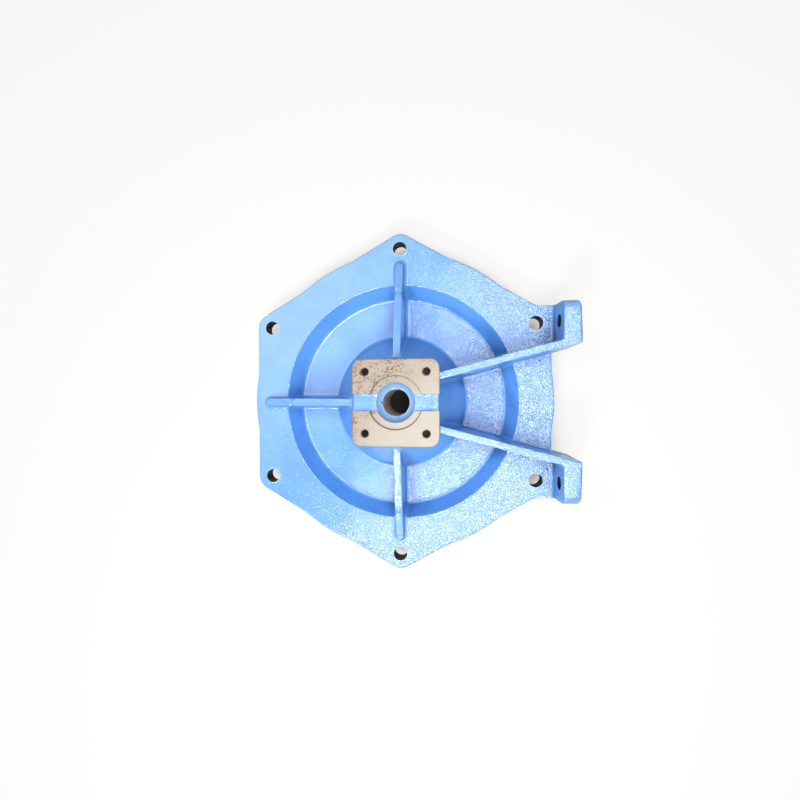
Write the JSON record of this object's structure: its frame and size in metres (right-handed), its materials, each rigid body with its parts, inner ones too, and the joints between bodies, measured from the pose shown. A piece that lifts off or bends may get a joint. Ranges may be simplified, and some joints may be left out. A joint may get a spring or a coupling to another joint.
{
  "type": "pump housing",
  "caption": "Cast pump end housing: lobed bolting flange, ring-shaped dish, conical hub with a square machined pad and shaft bore, stiffening ribs and foot lugs.",
  "frame": {"origin": "on the axis of the shaft bore, in the machined mating face of the flange", "axes": "+Z along the shaft bore, from the mating face towards the square pad; +X towards the two foot lugs; +Y from one foot to the other"},
  "size_m": [0.3098, 0.3304, 0.069],
  "materials": {
    "blue_paint": "glossy blue enamel over rough cast iron; the pad, the bores, the feet and the back are bare machined metal",
    "bare_iron": "bare turned and milled cast iron with light rust"
  },
  "bodies": {
    "root": {"pump_housing": "blue_paint"}
  },
  "joints": []
}
